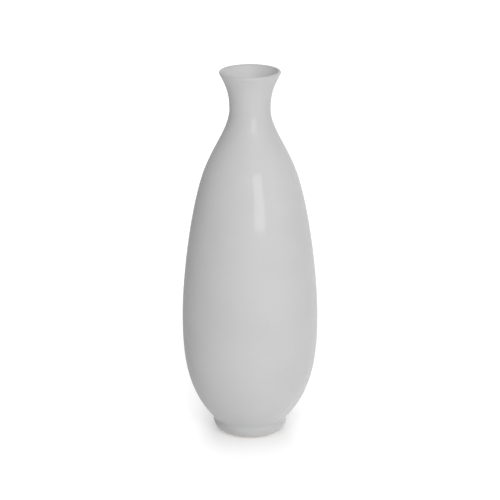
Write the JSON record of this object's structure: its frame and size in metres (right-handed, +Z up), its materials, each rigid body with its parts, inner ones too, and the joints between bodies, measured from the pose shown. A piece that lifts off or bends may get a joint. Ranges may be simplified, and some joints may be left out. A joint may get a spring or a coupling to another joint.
{
  "type": "bud vase",
  "caption": "Slender ceramic bud vase with a swelling body, narrow neck, flared lip and low turned foot, glazed outside, inside and under the foot.",
  "frame": {"origin": "on the vase's axis, at the middle of the plane that the four grip dots stand on", "axes": "+Z up along the vase's axis, towards the mouth; the vase is round, and its grip dots lie midway between the X and Y axes"},
  "size_m": [0.082, 0.082, 0.226],
  "materials": {
    "fired_clay": "matte",
    "outer_glaze": "gloss",
    "inner_glaze": "gloss",
    "base_glaze": "gloss",
    "silicone": "satin"
  },
  "bodies": {
    "root": {"clay_body": "fired_clay", "outer_glaze": "outer_glaze", "inner_glaze": "inner_glaze", "base_glaze": "base_glaze", "grip_dot_1": "silicone", "grip_dot_2": "silicone", "grip_dot_3": "silicone", "grip_dot_4": "silicone"}
  },
  "joints": []
}
